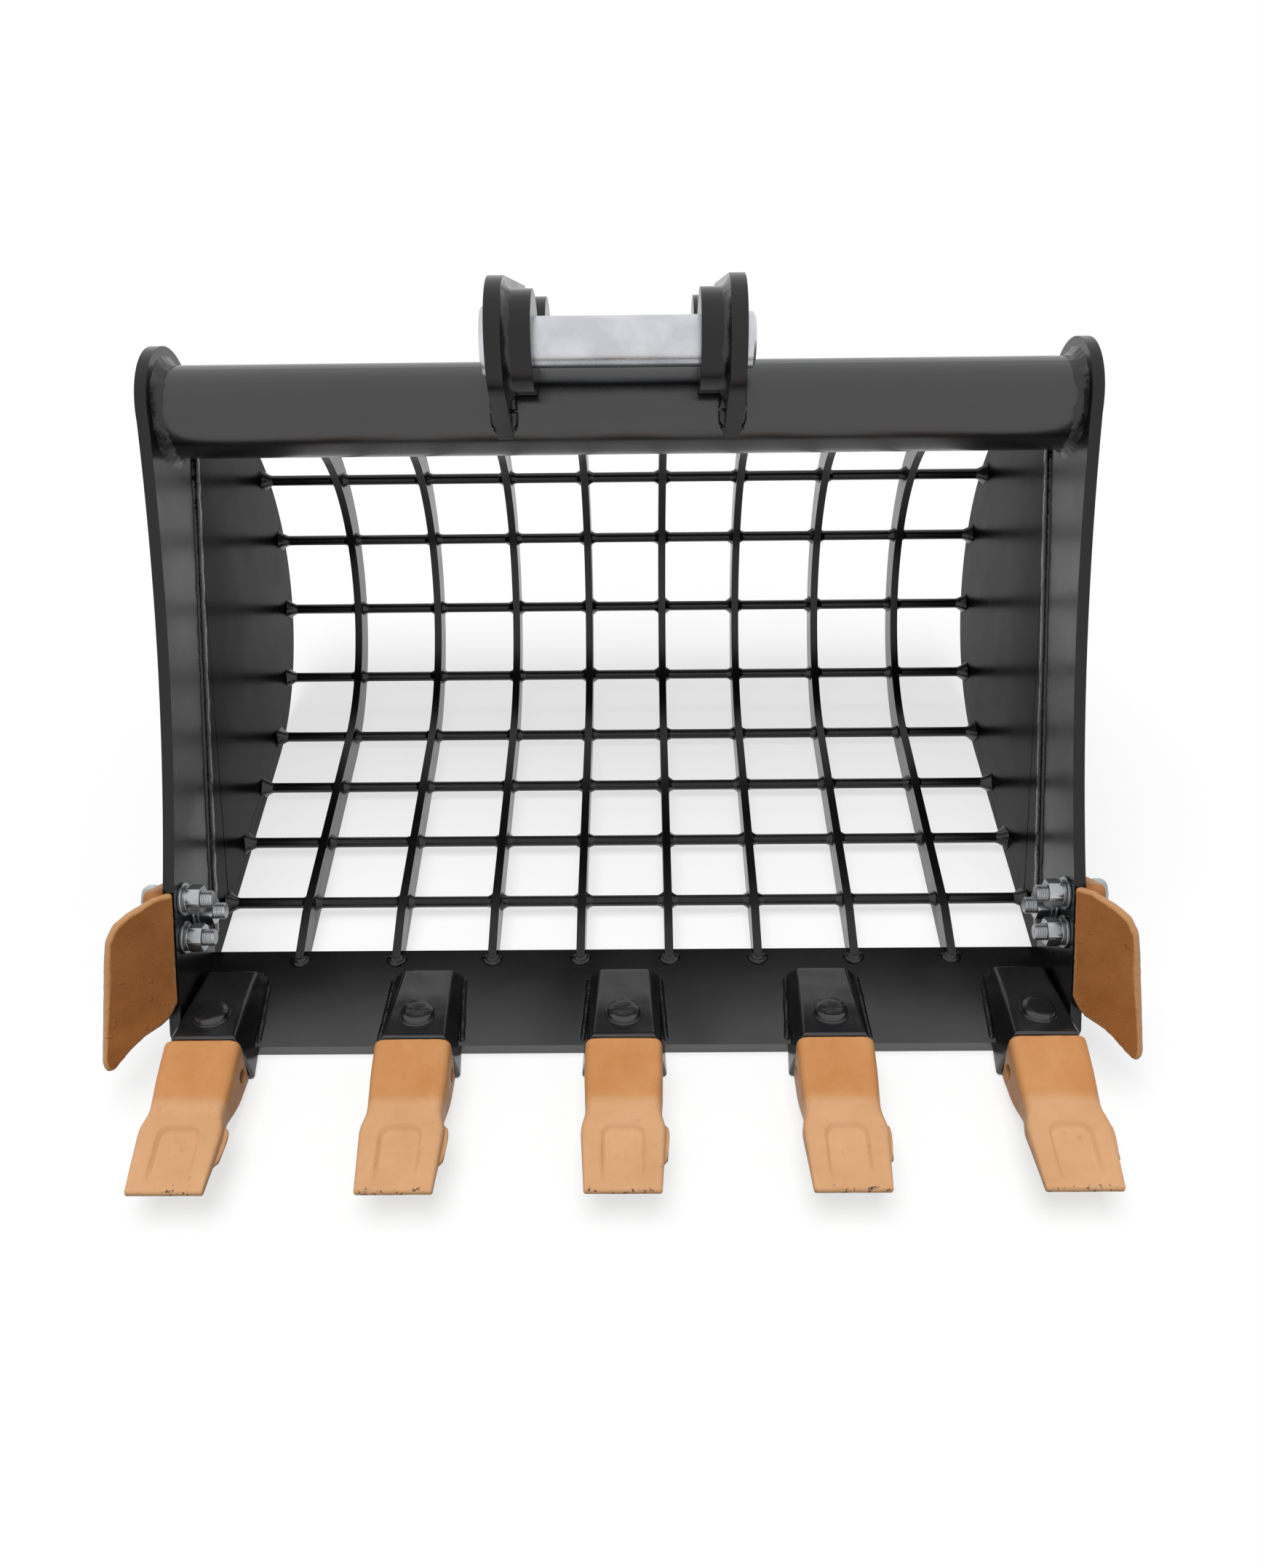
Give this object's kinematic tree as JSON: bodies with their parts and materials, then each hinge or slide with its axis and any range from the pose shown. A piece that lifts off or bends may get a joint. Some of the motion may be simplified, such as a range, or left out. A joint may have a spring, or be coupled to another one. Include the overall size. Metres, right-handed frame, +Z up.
{
  "type": "skeleton excavator bucket",
  "caption": "Skeleton excavator bucket: open grid of curved ribs and round rods between side plates, torsion tube with hanger ears and pin, adapters, teeth and side cutters.",
  "frame": {"origin": "centre of the bounding box at the level of the flat bottom, where the bucket rests on the ground", "axes": "+X across the width, the teeth and the mouth point to -Y, +Z up"},
  "size_m": [1.3216, 1.097, 0.819],
  "materials": {
    "black_paint": "semi-gloss black paint",
    "cast_black": "semi-gloss black paint on rough castings",
    "orange_paint": "satin orange tan paint on castings, chipped at the edges",
    "zinc": "bright zinc plate",
    "pin_steel": "dark plain steel"
  },
  "bodies": {
    "bucket": {"torsion_tube": "black_paint", "tube_welds": "black_paint", "left_side_bar": "black_paint", "right_side_bar": "black_paint", "left_side_plate": "black_paint", "right_side_plate": "black_paint", "seam_welds": "black_paint", "back_plate": "black_paint", "cutting_edge": "black_paint", "rib_1": "black_paint", "rib_2": "black_paint", "rib_3": "black_paint", "rib_4": "black_paint", "rib_5": "black_paint", "rib_6": "black_paint", "rib_7": "black_paint", "rib_8": "black_paint", "rib_end_welds": "black_paint", "rod_1": "black_paint", "rod_2": "black_paint", "rod_3": "black_paint", "rod_4": "black_paint", "rod_5": "black_paint", "rod_6": "black_paint", "rod_7": "black_paint", "rod_8": "black_paint", "left_ear": "black_paint", "right_ear": "black_paint", "left_front_boss": "black_paint", "right_front_boss": "black_paint", "left_rear_boss": "black_paint", "right_rear_boss": "black_paint", "boss_welds": "black_paint", "adapter_1": "cast_black", "adapter_2": "cast_black", "adapter_3": "cast_black", "adapter_4": "cast_black", "adapter_5": "cast_black", "tooth_1": "orange_paint", "tooth_2": "orange_paint", "tooth_3": "orange_paint", "tooth_4": "orange_paint", "tooth_5": "orange_paint", "left_side_cutter": "orange_paint", "right_side_cutter": "orange_paint", "cutter_bolts": "zinc", "cutter_washers": "zinc", "cutter_spring_washers": "zinc", "cutter_nuts": "zinc"},
    "front_pin": {"front_pin": "zinc"},
    "pin_collar": {"pin_collar": "zinc"},
    "tooth_pin_1": {"tooth_pin_1": "pin_steel"},
    "tooth_pin_2": {"tooth_pin_2": "pin_steel"},
    "tooth_pin_3": {"tooth_pin_3": "pin_steel"},
    "tooth_pin_4": {"tooth_pin_4": "pin_steel"},
    "tooth_pin_5": {"tooth_pin_5": "pin_steel"}
  },
  "joints": [
    {"name": "front_pin_slide", "type": "slide", "parent": "bucket", "child": "front_pin", "axis": [-1, 0, 0], "range_m": [0, 0.36]},
    {"name": "pin_collar_slide", "type": "slide", "parent": "bucket", "child": "pin_collar", "axis": [1, 0, 0], "range_m": [0, 0.06]},
    {"name": "tooth_pin_1_slide", "type": "slide", "parent": "bucket", "child": "tooth_pin_1", "axis": [1, 0, 0], "range_m": [0, 0.11]},
    {"name": "tooth_pin_2_slide", "type": "slide", "parent": "bucket", "child": "tooth_pin_2", "axis": [1, 0, 0], "range_m": [0, 0.11]},
    {"name": "tooth_pin_3_slide", "type": "slide", "parent": "bucket", "child": "tooth_pin_3", "axis": [1, 0, 0], "range_m": [0, 0.11]},
    {"name": "tooth_pin_4_slide", "type": "slide", "parent": "bucket", "child": "tooth_pin_4", "axis": [1, 0, 0], "range_m": [0, 0.11]},
    {"name": "tooth_pin_5_slide", "type": "slide", "parent": "bucket", "child": "tooth_pin_5", "axis": [1, 0, 0], "range_m": [0, 0.11]}
  ]
}
